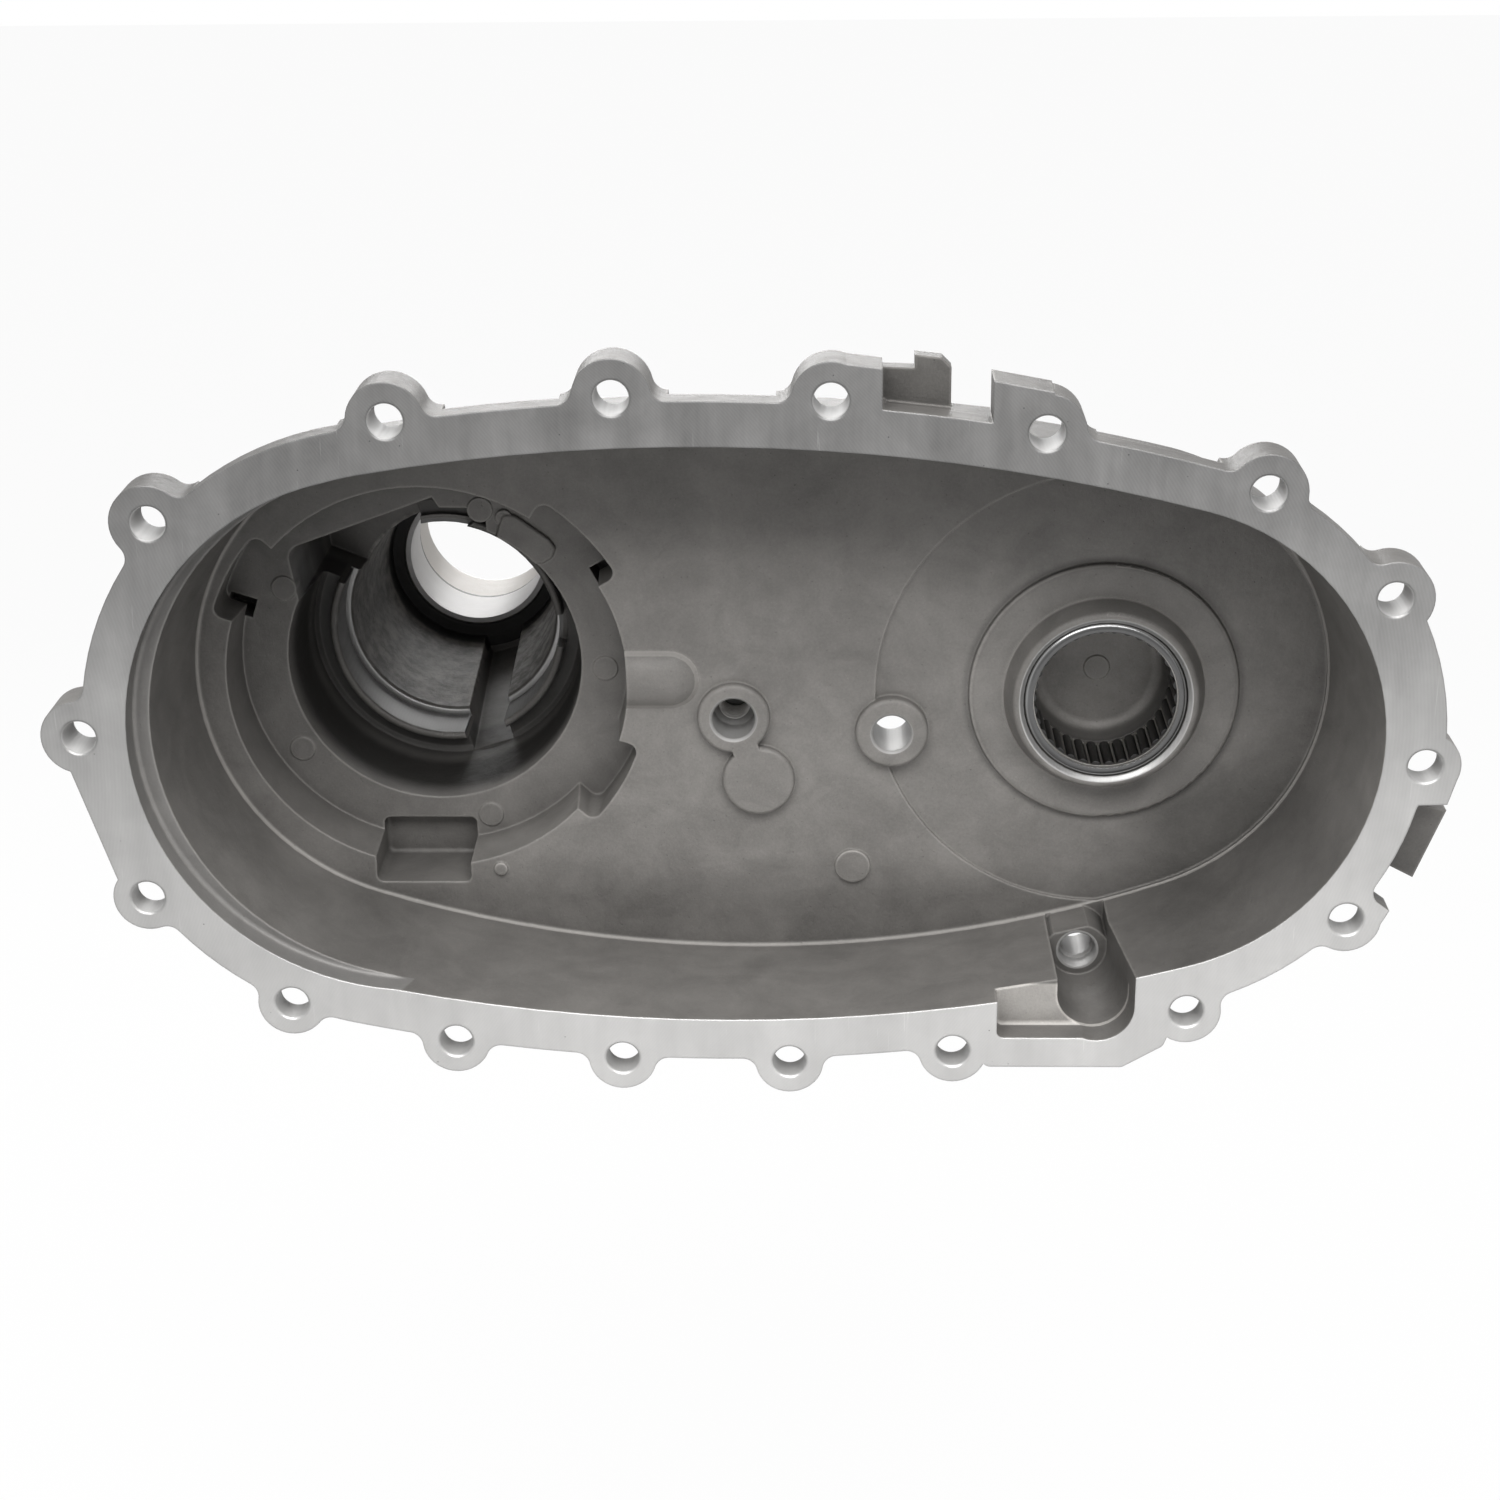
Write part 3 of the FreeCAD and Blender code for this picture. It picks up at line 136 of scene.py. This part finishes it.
class Graph:
    """The node tree of a material or world, with short calls for the nodes used here."""

    def __init__(self, owner):
        owner.use_nodes = True
        self.owner = owner
        self.tree = owner.node_tree
        self.tree.nodes.clear()

    def add(self, kind, inputs=None, **settings):
        node = self.tree.nodes.new(kind)
        for key, value in settings.items():
            setattr(node, key, value)
        for key, value in (inputs or {}).items():
            if isinstance(value, bpy.types.NodeSocket):
                self.tree.links.new(value, node.inputs[key])
            elif value is not None:
                node.inputs[key].default_value = value
        return node

    def math(self, operation, a, b=None):
        return self.add("ShaderNodeMath", {0: a, 1: b}, operation=operation).outputs[0]

    def mul(self, a, b):
        return self.math("MULTIPLY", a, b)

    def plus(self, a, b):
        return self.math("ADD", a, b)

    def minus(self, a, b):
        return self.math("SUBTRACT", a, b)

    def most(self, value, *others):
        """The largest of the values."""
        for other in others:
            value = self.math("MAXIMUM", value, other)
        return value

    def vector(self, operation, a, b=None, out="Vector", scale=None):
        node = self.add("ShaderNodeVectorMath", {0: a, 1: b}, operation=operation)
        if scale is not None:
            node.inputs["Scale"].default_value = scale
        return node.outputs[out]

    def axes(self, vector):
        return self.add("ShaderNodeSeparateXYZ", {0: vector}).outputs

    def away(self, flat, x, z):
        """The distance from an axis along Y."""
        return self.vector("DISTANCE", flat, (x, 0.0, z), out="Value")

    def position(self):
        """The place in millimetres, and how far the surface faces along Y."""
        coords = self.add("ShaderNodeTexCoord").outputs
        place = self.vector("SCALE", coords["Object"], scale=1.0 / MM)
        return place, self.axes(coords["Normal"])[1]

    def step(self, value, low, high, start=0.0, end=1.0):
        """Goes smoothly from start to end as value goes from low to high."""
        inputs = {"Value": value, "From Min": low, "From Max": high, "To Min": start, "To Max": end}
        node = self.add("ShaderNodeMapRange", inputs, interpolation_type="SMOOTHSTEP")
        return node.outputs[0]

    def inside(self, value, low, high, soft):
        """1 where value lies between low and high, with soft edges."""
        rise = self.step(value, low - soft, low + soft)
        fall = self.step(value, high - soft, high + soft, 1.0, 0.0)
        return self.mul(rise, fall)

    def noise(self, vector, scale, detail=3.0, roughness=0.5, distortion=0.0):
        inputs = {"Vector": vector, "Scale": scale, "Detail": detail, "Roughness": roughness}
        inputs["Distortion"] = distortion
        return self.add("ShaderNodeTexNoise", inputs).outputs["Fac"]

    def vary(self, value, noise, amount):
        """A value with noise added to it, without a change of its mean."""
        return self.plus(value, self.mul(self.minus(noise, 0.5), amount))

    def cells(self, vector, scale):
        inputs = {"Vector": vector, "Scale": scale}
        return self.add("ShaderNodeTexVoronoi", inputs).outputs["Distance"]

    def blend(self, factor, a, b):
        """A number between a and b."""
        return self.add("ShaderNodeMix", {0: factor, 2: a, 3: b}, data_type="FLOAT").outputs[0]

    def blend_vector(self, factor, a, b):
        return self.add("ShaderNodeMix", {0: factor, 4: a, 5: b}, data_type="VECTOR").outputs[1]

    def blend_colour(self, factor, a, b):
        return self.add("ShaderNodeMix", {0: factor, 6: a, 7: b}, data_type="RGBA").outputs[2]

    def scaled(self, value, mask, factor):
        """A value that is multiplied by factor where the mask is 1."""
        return self.mul(value, self.blend(mask, 1.0, factor))

    def grey(self, value, tint=NO_TINT):
        """A colour from a brightness and a tint."""
        parts = [self.mul(value, part) for part in tint]
        inputs = {0: parts[0], 1: parts[1], 2: parts[2]}
        return self.add("ShaderNodeCombineColor", inputs).outputs[0]

    def bevel(self, radius):
        return self.add("ShaderNodeBevel", {"Radius": radius * MM}, samples=4).outputs[0]

    def bump(self, height, distance, strength, normal):
        inputs = {"Height": height, "Distance": distance * MM, "Strength": strength}
        inputs["Normal"] = normal
        return self.add("ShaderNodeBump", inputs).outputs[0]

    def surface(self, colour, roughness, metallic, normal=None, specular=0.5):
        inputs = {"Base Color": colour, "Roughness": roughness, "Metallic": metallic}
        inputs["Specular IOR Level"] = specular
        inputs["Normal"] = normal
        return self.add("ShaderNodeBsdfPrincipled", inputs).outputs[0]

    def where_seen(self, share, lit, seen):
        """The seen shader for rays of the camera, of reflections and through glass."""
        rays = self.add("ShaderNodeLightPath").outputs
        kinds = ("Is Camera Ray", "Is Glossy Ray", "Is Transmission Ray")
        direct = self.mul(self.most(*[rays[kind] for kind in kinds]), share)
        return self.add("ShaderNodeMixShader", {0: direct, 1: lit, 2: seen}).outputs[0]

    def finish(self, shader, kind="ShaderNodeOutputMaterial"):
        self.add(kind, {"Surface": shader})
        return self.owner


def new_material(name):
    return Graph(bpy.data.materials.new(name))


def case_places(g):
    """Where a point of the casting is, and how far from the shafts and the bolt holes."""
    at = SimpleNamespace()
    at.place, at.facing = g.position()
    at.x, at.y, at.z = g.axes(at.place)
    at.flat = g.add("ShaderNodeCombineXYZ", {0: at.x, 1: 0.0, 2: at.z}).outputs[0]
    at.main_r = g.vector("LENGTH", at.flat, out="Value")
    at.front_r = g.away(at.flat, FRONT_X, FRONT_Z)
    holes = [g.away(at.flat, hole_x, hole_z) for hole_x, hole_z in BOLT_HOLES]
    at.hole_r = holes[0]
    for other in holes[1:]:
        at.hole_r = g.math("MINIMUM", at.hole_r, other)
    at.tube = g.mul(
        g.step(at.main_r, TUBE_R + 0.6, TUBE_R + 0.2),
        g.inside(at.y, SHOULDER_Y + 2.0, TUBE_END_Y - 6.0, 6.0))
    return at


def machined_masks(g, at):
    """The surfaces that a tool has cut, and two kinds of them: the seat and drilled holes."""
    face = g.mul(g.step(at.y, 0.12, 0.04), g.step(at.facing, -0.93, -0.98))
    chamfer = g.mul(g.step(at.y, 1.0, 0.85), g.step(at.hole_r, BOLT_R + 1.1, BOLT_R + 0.8))
    chamfer = g.mul(chamfer, g.inside(at.facing, -0.9, -0.4, 0.05))
    drilled = g.mul(g.step(at.hole_r, BOLT_R + 0.4, BOLT_R + 0.2), g.step(at.y, 0.3, 0.6))
    for hole_x, hole_z, radius in FLOOR_HOLES:
        near = g.step(g.away(at.flat, hole_x, hole_z), radius + 1.0, radius + 0.8)
        bored = g.mul(near, g.step(at.y, HOLE_TOP_Y - 1.0, HOLE_TOP_Y + 0.2))
        drilled = g.most(drilled, g.mul(bored, 0.7))
    seat = g.mul(
        g.inside(at.main_r, BEARING_R - 0.8, BEARING_R + 1.2, 0.1),
        g.inside(at.y, COLLAR_Y + 1.2, SHOULDER_Y - 0.1, 0.1))
    shoulder = g.mul(
        g.inside(at.y, SHOULDER_Y - 0.1, SHOULDER_Y + 0.4, 0.05),
        g.inside(at.main_r, TUBE_R + 0.6, BEARING_R + 1.2, 0.1))
    rim = g.mul(
        g.inside(at.front_r, RIM_IN_R, RIM_OUT_R, 0.1),
        g.inside(at.y, RIM_Y - 1.0, RIM_Y + 1.0, 0.1))
    seal = g.mul(
        g.step(at.main_r, SEAL_R + 0.5, SEAL_R + 0.2), g.step(at.y, SEAL_Y, SEAL_Y + 0.3))
    ledge_r = g.away(at.flat, 0.0, LEDGE_Z)
    ledge = g.mul(
        g.step(at.y, LEDGE_Y + 0.2, LEDGE_Y + 0.05),
        g.step(ledge_r, LEDGE_R + 0.3, LEDGE_R + 0.15))
    ledge = g.mul(ledge, g.step(at.x, 6.0, 2.0))
    cut = g.most(face, seat, shoulder, rim, seal, chamfer, drilled, g.mul(ledge, 0.2))
    return cut, seat, drilled


def casting(g, at, bevel):
    """Rough skin: mottling, flow marks, fine grain and small pits, with painted shade and painted
    light by where it is.
    """
    mottle = g.noise(at.place, 0.035, 5.0, 0.6, 0.6)
    flow_at = g.vector("MULTIPLY", at.place, (0.045, 0.05, 0.055))
    flow = g.noise(flow_at, 1.0, 6.0, 0.65, 1.2)
    grain = g.noise(at.place, 1.3, 4.0, 0.7)
    speck = g.step(g.noise(at.place, 0.55, 2.0, 0.6), 0.66, 0.76)
    pit = g.step(g.cells(at.place, 0.28), 0.10, 0.04)
    skin = g.vary(SKIN_BRIGHTNESS, mottle, 0.125)
    skin = g.vary(skin, flow, 0.085)
    skin = g.vary(skin, grain, 0.075)
    skin = g.plus(skin, g.mul(speck, 0.020))
    # Painted shade and light by where the point lies
    for axis, low, high, start, end in PAINTED_SHADE_GRADIENTS:
        skin = g.mul(skin, g.step(getattr(at, axis), low, high, start, end))

    # Shade beside the front boss and in the lower right corner, in crevices and in pits
    ring = g.mul(g.inside(at.front_r, 45.0, 48.2, 1.2), g.inside(at.y, 60.0, 66.0, 0.5))
    corner = g.mul(g.step(at.x, 225.0, 265.0), g.step(at.z, -15.0, -50.0))
    nearby = g.add("ShaderNodeAmbientOcclusion", {"Distance": 14.0 * MM}, samples=4)
    skin = g.scaled(skin, ring, 0.72)
    skin = g.scaled(skin, corner, 0.55)
    skin = g.mul(skin, g.step(nearby.outputs["AO"], 0.12, 0.80, 0.62, 1.0))
    skin = g.scaled(skin, pit, 0.80)

    # Lighter edges, partly wear and partly a painted highlight
    true = g.add("ShaderNodeNewGeometry").outputs["True Normal"]
    turned = g.vector("DOT_PRODUCT", g.bevel(1.6), true, out="Value")
    skin = g.plus(skin, g.mul(g.step(turned, 0.995, 0.82), 0.12))

    # Inside the bores: random stains in the tube, painted light on the blind floor, painted shade at
    # the tube's end, deep in the cavity, in the slot and on the blind wall, and a lighter shelf
    stains = g.step(g.noise(at.place, 0.16, 5.0, 0.7), 0.35, 0.68, 0.75, 2.0)
    blind = g.mul(
        g.step(at.front_r, BLIND_R + 1.0, BLIND_R), g.step(at.y, BLIND_Y, BLIND_Y + 4.0))
    # Painted shade at the tube's end
    painted_shade_tube_end = g.mul(
        g.inside(at.main_r, BUSHING_OUT_R + 0.2, TUBE_R, 0.1),
        g.inside(at.y, TUBE_END_Y - 8.0, TUBE_END_Y + 2.0, 2.0))
    deep = g.mul(g.step(at.main_r, 60.0, 56.0), g.inside(at.y, 89.0, 114.0, 6.0))
    slot = g.mul(
        g.inside(at.main_r, BEARING_R + 2.8, 60.0, 0.4),
        g.inside(at.y, COLLAR_Y, SHOULDER_Y + 2.0, 4.0))
    blind_wall = g.mul(
        g.inside(at.front_r, BLIND_R - 1.2, BLIND_R + 2.0, 0.8),
        g.step(at.y, BLIND_Y - 4.0, BLIND_Y - 2.0))
    shelf = g.mul(
        g.inside(at.y, SHELF_Y - 0.8, SHELF_Y + 0.8, 0.1),
        g.mul(g.step(at.x, SHELF_X - 1.0, SHELF_X), g.step(at.z, SHELF_Z + 1.0, SHELF_Z)))
    masks = (
        (at.tube, stains), (blind, 1.6), (painted_shade_tube_end, 0.10), (deep, 0.18), (slot, 0.45),
        (blind_wall, 0.4), (shelf, 2.8),
    )
    for mask, factor in masks:
        skin = g.scaled(skin, mask, factor)
    # Painted highlight on the floor's fillet, painted light in the throat at the tail, and a dark line
    # at the bushing's end
    fillet = g.mul(
        g.inside(at.y, FLOOR_Y - 1.5, FLOOR_Y - 0.1, 0.1), g.inside(at.facing, -0.97, -0.3, 0.05))
    throat = g.mul(
        g.step(at.main_r, BUSHING_OUT_R + 3.2, BUSHING_OUT_R + 3.0),
        g.step(at.y, THROAT_Y - 1.0, THROAT_Y))
    bushing_end = g.mul(
        g.step(at.main_r, BUSHING_OUT_R + 0.8, BUSHING_OUT_R + 0.6),
        g.inside(at.y, THROAT_Y, THROAT_Y + 3.4, 0.2))
    skin = g.plus(skin, g.mul(fillet, 0.10))
    skin = g.blend(throat, skin, 0.70)
    skin = g.scaled(skin, bushing_end, 0.12)

    rough = g.plus(g.vary(0.50, grain, 0.25), g.mul(at.tube, 0.12))
    relief = g.plus(g.mul(g.noise(at.place, 0.12, 3.0, 0.5), 1.6), g.mul(grain, 0.35))
    relief = g.plus(relief, g.mul(g.noise(at.place, 3.2, 2.0), 0.12))
    relief = g.minus(relief, g.mul(pit, 0.35))
    return g.grey(skin, SKIN_TINT), rough, g.bump(relief, 0.35, 0.75, bevel)


def machined(g, at, seat, drilled, bevel):
    """Cut metal: the arcs that a large face mill leaves, small dents and scratches, with painted light
    and shade by where it is.
    """
    sweep = g.math("SQRT", g.most(g.minus(CUTTER_R**2, g.mul(at.z, at.z)), 1.0))
    travel = g.plus(g.minus(at.x, sweep), g.mul(g.noise(at.place, 0.05), 2.0))
    arcs = g.math("SINE", g.mul(travel, 2 * math.pi / ARC_STEP))
    fine = g.math("SINE", g.mul(travel, 2 * math.pi / FINE_STEP))
    band = g.noise(g.vector("MULTIPLY", at.place, (0.10, 0.02, 0.012)), 1.0, 4.0, 0.6)
    cloud = g.noise(at.place, 0.03, 4.0, 0.6, 0.4)
    dent = g.step(g.cells(at.place, 0.16), 0.055, 0.02)
    scratch_at = g.vector("MULTIPLY", at.place, (0.9, 0.9, 0.035))
    scratch = g.step(g.noise(scratch_at, 1.0, 2.0, 0.5, 0.2), 0.70, 0.74)
    # Painted light and shade: the milled face lighter towards the bottom, darker towards the top
    bright = g.plus(g.step(at.z, 120.0, -120.0, 0.19, 0.53), g.mul(arcs, 0.009))
    bright = g.plus(bright, g.mul(fine, 0.006))
    bright = g.vary(bright, band, 0.14)
    bright = g.vary(bright, cloud, 0.18)
    bright = g.scaled(bright, dent, 0.45)
    bright = g.plus(bright, g.mul(scratch, 0.06))
    # The seat darker, partly its duller finish and partly painted shade; the face darker towards the
    # left, as painted shade
    bright = g.scaled(bright, seat, 0.40)
    bright = g.mul(bright, g.step(at.x, -100.0, 60.0, 0.82, 1.0))
    bright = g.blend(drilled, bright, 0.42)

    rough = g.plus(g.blend(g.most(seat, drilled), 0.36, 0.55), g.mul(arcs, 0.03))
    relief = g.plus(g.mul(arcs, 0.5), g.mul(fine, 0.3))
    relief = g.minus(relief, g.mul(dent, 3.0))
    return g.grey(bright, METAL_TINT), rough, g.bump(relief, 0.010, 0.8, bevel)


def case_material():
    """Rough aluminium casting with its machined faces, told apart by where they are."""
    g = new_material("cast_aluminium")
    at = case_places(g)
    cut, seat, drilled = machined_masks(g, at)
    bevel = g.bevel(0.9)
    cast_colour, cast_rough, cast_bump = casting(g, at, bevel)
    metal_colour, metal_rough, metal_bump = machined(g, at, seat, drilled, bevel)
    colour = g.blend_colour(cut, cast_colour, metal_colour)
    roughness = g.blend(cut, cast_rough, metal_rough)
    metallic = g.blend(cut, 0.12, g.blend(drilled, 0.75, 0.25))
    normal = g.blend_vector(cut, cast_bump, metal_bump)
    return g.finish(g.surface(colour, roughness, metallic, normal, 0.3))


def steel_material(name, brightness, roughness, streak, tint=NO_TINT, metallic=1.0, painted_shade_facing=1.0):
    """Smooth worked steel with fine marks, darkened by a factor of painted shade where it faces the
    joint.
    """
    g = new_material(name)
    place, facing = g.position()
    lines = g.noise(g.vector("MULTIPLY", place, streak), 1.0, 4.0, 0.65)
    cloud = g.noise(place, 0.15, 3.0, 0.6)
    value = g.vary(brightness, lines, 0.22 * brightness)
    value = g.vary(value, cloud, 0.18 * brightness)
    # Painted shade where the surface faces the joint
    value = g.mul(value, g.step(facing, -0.98, -0.75, painted_shade_facing, 1.0))
    rough = g.vary(roughness, lines, 0.12)
    normal = g.bump(lines, 0.02, 0.6, g.bevel(0.3))
    return g.finish(g.surface(g.grey(value, tint), rough, metallic, normal))


def set_material(node_name, material):
    for slot in frame["nodes"][node_name].material_slots:
        slot.link = "OBJECT"
        slot.material = material


def add_object(name, data):
    obj = bpy.data.objects.new(name, data)
    bpy.context.scene.collection.objects.link(obj)
    return obj


def thread(name, x, z, radius, start_y, end_y, pitch, material):
    """The turns of a thread in a hole, as a closed helical ridge on the hole's wall."""
    sides = 48
    turns = (end_y - start_y) / pitch
    depth = 0.5 * pitch
    profile = ((-0.5, 0.0), (-0.08, 1.0), (0.08, 1.0), (0.5, 0.0))
    mesh = bmesh.new()
    rows = []
    for index in range(int(turns * sides) + 1):
        angle = 2 * math.pi * index / sides
        middle = start_y + pitch * index / sides
        fade = min(1.0, index / sides, (turns * sides - index) / sides + 0.05)
        row = []
        for offset, inset in profile:
            reach = radius + 0.05 - inset * depth * fade
            across, height = x + reach * math.cos(angle), z + reach * math.sin(angle)
            place = (across, middle + offset * pitch, height)
            row.append(mesh.verts.new([MM * value for value in place]))
        rows.append(row)
    for first, second in zip(rows, rows[1:]):
        for left in range(len(profile)):
            right = (left + 1) % len(profile)
            mesh.faces.new((first[left], first[right], second[right], second[left]))
    mesh.faces.new(rows[0])
    mesh.faces.new(rows[-1])
    bmesh.ops.recalc_face_normals(mesh, faces=mesh.faces)
    data = bpy.data.meshes.new(name)
    mesh.to_mesh(data)
    mesh.free()
    data.materials.append(material)
    obj = add_object(name, data)
    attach(obj, "case")


def floor():
    """A pale floor that keeps the object's shadow."""
    mesh = bpy.data.meshes.new("floor")
    half = FLOOR_HALF
    level = CAD_BOX[0][2] - FLOOR_DROP
    corners = [(-half, -half, level), (half, -half, level), (half, half, level), (-half, half, level)]
    mesh.from_pydata(corners, [], [(0, 1, 2, 3)])
    obj = add_object("floor", mesh)
    g = new_material("floor_white")
    coords = g.add("ShaderNodeTexCoord").outputs["Object"]
    value = g.plus(0.93, g.mul(g.noise(coords, 1.5), 0.03))
    lit = g.surface(g.grey(value), 0.8, 0.0)
    seen = g.add("ShaderNodeEmission", {"Color": WHITE, "Strength": 1.0}).outputs[0]
    mesh.materials.append(g.finish(g.where_seen(FLOOR_SEEN, lit, seen)))


def world():
    """White where the camera and reflections look, a softer grey as light."""
    made = bpy.data.worlds.new("studio")
    bpy.context.scene.world = made
    g = Graph(made)
    inputs = {"Color": WORLD_GREY, "Strength": WORLD_STRENGTH}
    lit = g.add("ShaderNodeBackground", inputs).outputs[0]
    seen = g.add("ShaderNodeBackground", {"Color": WHITE, "Strength": 1.0}).outputs[0]
    g.finish(g.where_seen(1.0, lit, seen), "ShaderNodeOutputWorld")


def area_light(name, place, target, size, power):
    data = bpy.data.lights.new(name, "AREA")
    data.shape = "RECTANGLE"
    data.size, data.size_y = size
    data.energy = power
    obj = add_object(name, data)
    obj.location = place
    towards = Vector(target) - Vector(place)
    obj.rotation_euler = towards.to_track_quat("-Z", "Y").to_euler()


def camera():
    data = bpy.data.cameras.new("camera")
    data.sensor_width = SENSOR_MM
    data.lens = LENS_MM
    obj = add_object("camera", data)
    right = Vector(CAMERA_RIGHT).normalized()
    up = Vector(CAMERA_UP)
    up = (up - right * up.dot(right)).normalized()
    turn = Matrix((right, up, right.cross(up))).transposed().to_4x4()
    obj.matrix_world = Matrix.Translation(CAMERA_AT) @ turn
    bpy.context.scene.camera = obj


set_material("case_casting", case_material())
# The bearing shell's face towards the joint carries painted shade
set_material("bearing_shell", steel_material("bearing_steel", 0.42, 0.22, (0.3, 3.0, 0.3), painted_shade_facing=0.22))
set_material("needle_cage", steel_material("cage_steel", 0.34, 0.42, (0.5, 2.0, 0.5), CAGE_TINT))
set_material("needle_rollers", steel_material("needle_steel", 0.05, 0.35, (2.0, 0.2, 2.0)))
set_material(
    "tail_bushing", steel_material("bushing_metal", 0.72, 0.55, (0.4, 3.0, 0.4), BUSHING_TINT, 0.2))
# The thread's metal is lighter than the cut metal, as painted light in the dark hole
thread(
    "thread_blind_boss", BLIND_BOSS_X, BLIND_BOSS_Z, THREAD_R, THREAD_START_Y, THREAD_END_Y,
    THREAD_PITCH, steel_material("thread_metal_painted_light", 0.8, 0.42, (0.6, 2.5, 0.6), THREAD_TINT, 0.4))

floor()
world()
for light in LIGHTS:
    area_light(*light)
camera()
bpy.context.scene.view_settings.view_transform = "Standard"
